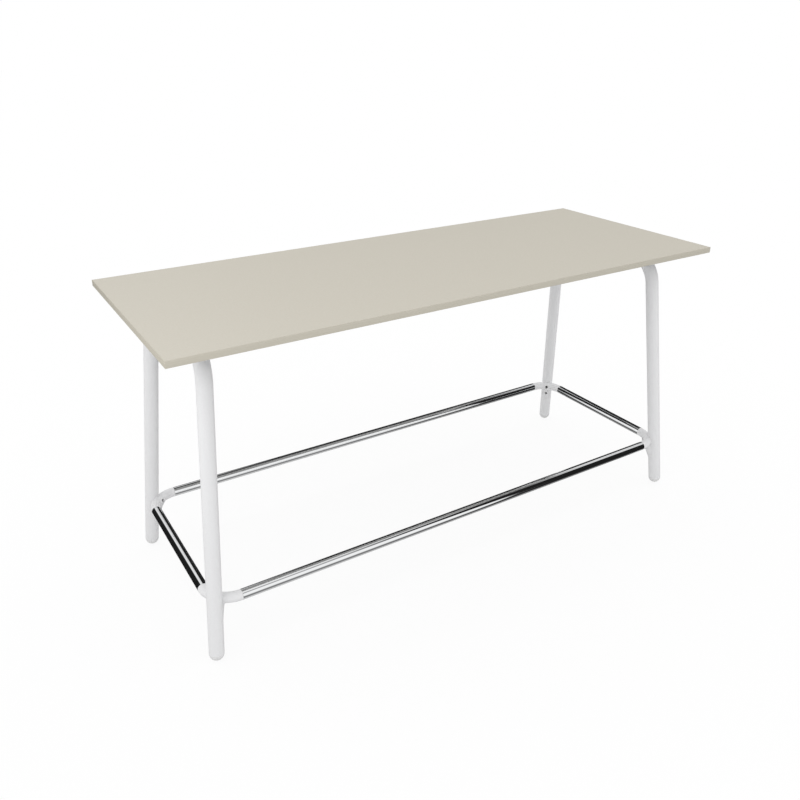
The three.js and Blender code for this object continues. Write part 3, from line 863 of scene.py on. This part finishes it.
def rounded_plate(low, high):
    """A plate with round corners and eased arrises."""
    middle = (low + high) / 2
    half_x, half_y = (high.x - low.x) / 2, (high.y - low.y) / 2
    levels = [
        (low.z, PLATE_ARRIS),
        (low.z + PLATE_ARRIS, 0),
        (high.z - PLATE_ARRIS, 0),
        (high.z, PLATE_ARRIS),
    ]
    rings = []
    for z, inset in levels:
        radius = PLATE_CORNER - inset
        ring = []
        for quarter, (sign_x, sign_y) in enumerate(((1, 1), (-1, 1), (-1, -1), (1, -1))):
            for turn in quarter_turn(ROUNDING_STEPS):
                angle = quarter * RIGHT_ANGLE + turn
                x = sign_x * (half_x - PLATE_CORNER) + radius * math.cos(angle)
                y = sign_y * (half_y - PLATE_CORNER) + radius * math.sin(angle)
                ring.append(Vector((middle.x + x, middle.y + y, z)))
        rings.append(ring)
    return loft(rings)


def add_plates():
    """Plates that carry the board, each with two weld beads along its cross bar."""
    low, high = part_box(f"mounting_plate_{MODEL_CORNER}")
    middle = (low + high) / 2
    pieces = [rounded_plate(low, high)]
    for side in (-1, 1):
        x, z = middle.x + side * WELD_ASIDE, low.z - WELD_BELOW
        path = path_mesh([(x, low.y + WELD_MARGIN, z), (x, high.y - WELD_MARGIN, z)])
        pieces.append(grown(path, WELD, Pitch=WELD_PITCH, Radius=WELD_RADIUS, Finish=powder_coat))
    mesh = grown(joined(pieces), FOUR_CORNERS, Finish=powder_coat)
    nodes = [f"mounting_plate_{corner}" for corner in CORNERS]
    show("frame_plates", mesh, powder_coat, "table", nodes)


def add_channels():
    """Channels that keep the board from sagging, folded from sheet with round bends, open downwards."""
    for side in ("front", "back"):
        low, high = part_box(f"stiffener_{side}")
        middle_y, half = (low.y + high.y) / 2, (high.y - low.y) / 2
        bend_y, bend_z = half - CHANNEL_BEND, high.z - CHANNEL_BEND
        outline = []
        for wall, direction in ((0, 1), (CHANNEL_WALL, -1)):
            bend = CHANNEL_BEND - wall
            right = [(half - wall, low.z)]
            for angle in quarter_turn(ROUNDING_STEPS):
                right.append((bend_y + bend * math.cos(angle), bend_z + bend * math.sin(angle)))
            run = [(-y, z) for y, z in right] + list(reversed(right))
            outline += run[::direction]
        rings = [[Vector((x, middle_y + y, z)) for y, z in outline] for x in (low.x, high.x)]
        show(f"channel_{side}", loft(rings), powder_coat, "table", [f"stiffener_{side}"])


def wood_screw(node):
    """A wood screw that hangs head down where that node is, centred on X and Y 0."""
    low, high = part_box(node)
    seat = low.z + SCREW_HEAD_HEIGHT
    mesh = screw_mesh(
        SCREW_RADIUS, high.z - seat, SCREW_HEAD_RADIUS, SCREW_HEAD_HEIGHT, SCREW_SOCKET, SCREW_SOCKET_DEPTH
    )
    mesh.transform(Matrix.Translation((0, 0, seat)) @ Matrix.Rotation(math.pi, 4, "X"))
    return mesh


def add_plate_screws():
    """Two screws up through each plate."""
    places = ("inner", "outer")
    inner, outer = [node_centre(f"plate_screw_{MODEL_CORNER}_{place}") for place in places]
    screw = wood_screw(f"plate_screw_{MODEL_CORNER}_inner")
    pair = grown(screw, SCREW_ROWS, Along=2, Across=1, Length=outer.x - inner.x, Width=0.0, Finish=zinc)
    apart_x, apart_y = inner.x + outer.x, inner.y + outer.y
    mesh = grown(pair, SCREW_ROWS, Along=2, Across=2, Length=apart_x, Width=apart_y, Finish=zinc)
    nodes = [f"plate_screw_{corner}_{place}" for corner in CORNERS for place in places]
    show("plate_screws", mesh, zinc, "table", nodes)


def add_channel_screws():
    """A row of screws up through each channel."""
    nodes = sorted(name for name in frame["nodes"] if name.startswith("stiffener_screw_"))
    centres = [node_centre(node) for node in nodes]
    length = max(c.x for c in centres) - min(c.x for c in centres)
    width = max(c.y for c in centres) - min(c.y for c in centres)
    screw = wood_screw(nodes[0])
    row = len(nodes) // 2
    mesh = grown(screw, SCREW_ROWS, Along=row, Across=2, Length=length, Width=width, Finish=zinc)
    show("channel_screws", mesh, zinc, "table", nodes)


def dome_mesh():
    """A hemisphere under the leg, flat where it stands, with a blind hole for the stem."""
    edge = math.asin(DOME_EDGE / LEG_RADIUS)
    rings = []
    for i in range(1, DOME_STEPS + 1):
        angle = (RIGHT_ANGLE - edge) * i / DOME_STEPS
        rings.append(round_ring(LEG_RADIUS * math.sin(angle), -LEG_RADIUS * math.cos(angle)))
    hole = STEM_RADIUS + SLIT
    rings += [round_ring(LEG_RADIUS - DOME_EDGE, 0), round_ring(hole, 0), round_ring(hole, stem_floor - SLIT)]
    mesh = loft(rings)
    mesh.transform(leg_frame(dome_base))
    with opened(mesh) as work:
        cut_flat(work, (0, 0, 0), (0, 0, -1))
        bmesh.ops.recalc_face_normals(work, faces=work.faces)
    return mesh


def stem_mesh():
    """A threaded stem that stands in the dome's hole."""
    core = STEM_RADIUS - THREAD_DEPTH
    tip = 2 * THREAD_DEPTH
    rings = [
        round_ring(core, 0),
        round_ring(core, STEM_LENGTH - tip),
        round_ring(core - THREAD_DEPTH, STEM_LENGTH),
    ]
    wound = STEM_LENGTH - 2 * tip
    turns = wound / THREAD_PITCH
    mesh = grown(
        loft(rings), THREAD, Turns=turns, Height=wound, Radius=core, Depth=THREAD_DEPTH, Finish=zinc
    )
    mesh.transform(leg_frame(dome_base) @ Matrix.Translation((0, 0, stem_floor)))
    return mesh


def plug_mesh():
    """A plug in the end of the leg, with a bore for the stem."""
    radius = LEG_RADIUS - LEG_WALL - SLIT
    bore = STEM_RADIUS + SLIT
    top = SLIT + PLUG_LENGTH
    outline = [
        (bore, SLIT),
        (radius - DOME_EDGE, SLIT),
        (radius, SLIT + DOME_EDGE),
        (radius, top),
        (bore, top),
    ]
    mesh = loft([round_ring(r, z) for r, z in outline], ring_shaped=True)
    mesh.transform(leg_frame(dome_base))
    return mesh


def mirrored_to(corner, mesh):
    """A copy of a back right corner's mesh, moved to another corner."""
    side, end = corner.split("_")
    flip = Vector((1 if end == "right" else -1, 1 if side == "back" else -1, 1))
    copy = mesh.copy()
    copy.transform(Matrix.Diagonal((*flip, 1)))
    return facing_out(copy)


def add_feet():
    """Four domes on stems that turn in and out of the legs, and the plugs that hold the stems."""
    dome, stem = dome_mesh(), stem_mesh()
    for corner in CORNERS:
        body = f"foot_{corner}"
        foot = mirrored_to(corner, dome)
        show(f"foot_{corner}", foot, glide_plastic, body, [f"foot_dome_{corner}"])
        show(f"stem_{corner}", mirrored_to(corner, stem), zinc, body, [f"foot_stem_{corner}"])
    plugs = grown(plug_mesh(), FOUR_CORNERS, Finish=plug_plastic)
    nodes = [f"foot_insert_{corner}" for corner in CORNERS]
    show("leg_plugs", plugs, plug_plastic, "table", nodes)


def add_camera():
    """The camera at the photograph's viewing angle."""
    data = bpy.data.cameras.new("camera")
    data.sensor_width = CAMERA_SENSOR
    data.lens = CAMERA_LENS
    camera = scene_object("camera", data)
    camera.location = CAMERA_PLACE
    camera.rotation_euler = [math.radians(a) for a in CAMERA_TURN]
    bpy.context.scene.camera = camera


def mirrored_studio(tree):
    """The level of the studio's panels by direction, over the dark between them."""
    direction = add(tree, "ShaderNodeTexCoord").outputs["Generated"]
    axes = add(tree, "ShaderNodeSeparateXYZ", {0: direction}).outputs
    azimuth = add(tree, "ShaderNodeMath", {0: axes[0], 1: axes[1]}, operation="ARCTAN2").outputs[0]
    elevation = add(tree, "ShaderNodeMath", {0: axes[2]}, operation="ARCSINE").outputs[0]
    level = STUDIO_DARK
    for across, up, bright in STUDIO_PANELS.values():
        covered = bright
        for angle, (middle, half, rim) in ((azimuth, across), (elevation, up)):
            aside = add(tree, "ShaderNodeMath", {0: angle, 1: math.radians(middle)}, operation="SUBTRACT")
            half_turn = {0: aside.outputs[0], 1: math.pi, 2: -math.pi}
            turned = add(tree, "ShaderNodeMath", half_turn, operation="WRAP")
            distance = add(tree, "ShaderNodeMath", {0: turned.outputs[0]}, operation="ABSOLUTE")
            rim_out, rim_in = math.radians(half + rim / 2), math.radians(half - rim / 2)
            fade = {"Value": distance.outputs[0], "From Min": rim_out, "From Max": rim_in}
            inside = add(tree, "ShaderNodeMapRange", fade, interpolation_type="SMOOTHSTEP")
            product = add(tree, "ShaderNodeMath", {0: inside.outputs[0], 1: covered}, operation="MULTIPLY")
            covered = product.outputs[0]
        level = add(tree, "ShaderNodeMath", {0: covered, 1: level}, operation="MAXIMUM").outputs[0]
    return level


def add_world():
    """White for the camera, panels in a dark studio for what is glossy, and an even fill for the rest."""
    world = bpy.data.worlds.new("studio")
    bpy.context.scene.world = world
    world.use_nodes = True
    tree = world.node_tree
    rays = add(tree, "ShaderNodeLightPath").outputs
    through = {0: rays["Is Camera Ray"], 1: rays["Is Transmission Ray"]}
    seen = add(tree, "ShaderNodeMath", through, operation="MAXIMUM")
    lit = add(tree, "ShaderNodeMix", {0: rays["Is Glossy Ray"], 2: FILL_LEVEL, 3: mirrored_studio(tree)})
    strength = add(tree, "ShaderNodeMix", {0: seen.outputs[0], 2: lit.outputs[0], 3: 1.0})
    tree.links.new(strength.outputs[0], tree.nodes["Background"].inputs["Strength"])
    tree.nodes["Background"].inputs["Color"].default_value = (1, 1, 1, 1)


def add_floor():
    """A white sweep that keeps a faint shadow of the table. The rails mirror the studio and not the sweep."""
    half = FLOOR_SIZE / 2
    mesh = bpy.data.meshes.new("floor")
    corners = [(x * half, y * half, -FLOOR_DROP) for x, y in ((-1, -1), (1, -1), (1, 1), (-1, 1))]
    mesh.from_pydata(corners, [], [(0, 1, 2, 3)])
    material = bpy.data.materials.new("paper_sweep_white")
    material.use_nodes = True
    tree = material.node_tree
    tree.nodes.clear()
    rays = add(tree, "ShaderNodeLightPath").outputs
    paper = add(tree, "ShaderNodeBsdfDiffuse", {"Color": (FLOOR_ALBEDO,) * 3 + (1,)})
    shaded = add(tree, "ShaderNodeBsdfDiffuse", {"Color": (FLOOR_SHADOW,) * 3 + (1,)})
    glow = add(tree, "ShaderNodeEmission", {"Strength": 1 - FLOOR_SHADOW * FILL_LEVEL})
    pale = add(tree, "ShaderNodeAddShader", {0: shaded.outputs[0], 1: glow.outputs[0]})
    by_ray = {0: rays["Is Camera Ray"], 1: paper.outputs[0], 2: pale.outputs[0]}
    surface = add(tree, "ShaderNodeMixShader", by_ray)
    add(tree, "ShaderNodeOutputMaterial", {"Surface": surface.outputs[0]})
    mesh.materials.append(material)
    floor = scene_object("floor", mesh)
    floor.visible_glossy = False


def add_strip_light():
    """A long softbox beside the table's left end."""
    data = bpy.data.lights.new("strip_light", "AREA")
    data.shape = "RECTANGLE"
    data.size = STRIP_LIGHT_LENGTH
    data.size_y = STRIP_LIGHT_HEIGHT
    data.energy = STRIP_LIGHT_POWER
    lamp = scene_object("strip_light", data)
    lamp.location = STRIP_LIGHT_PLACE
    aim = Vector(STRIP_LIGHT_AIM) - lamp.location
    lamp.rotation_euler = aim.to_track_quat("-Z", "Y").to_euler()
    lamp.visible_camera = False
    lamp.visible_glossy = False


add_camera()
add_world()
add_floor()
add_strip_light()
bpy.context.scene.view_settings.view_transform = "Standard"

dress_board()
add_edge_bands()
add_end_frames()
add_rails()
add_castings()
add_bolts()
add_plates()
add_channels()
add_plate_screws()
add_channel_screws()
add_feet()
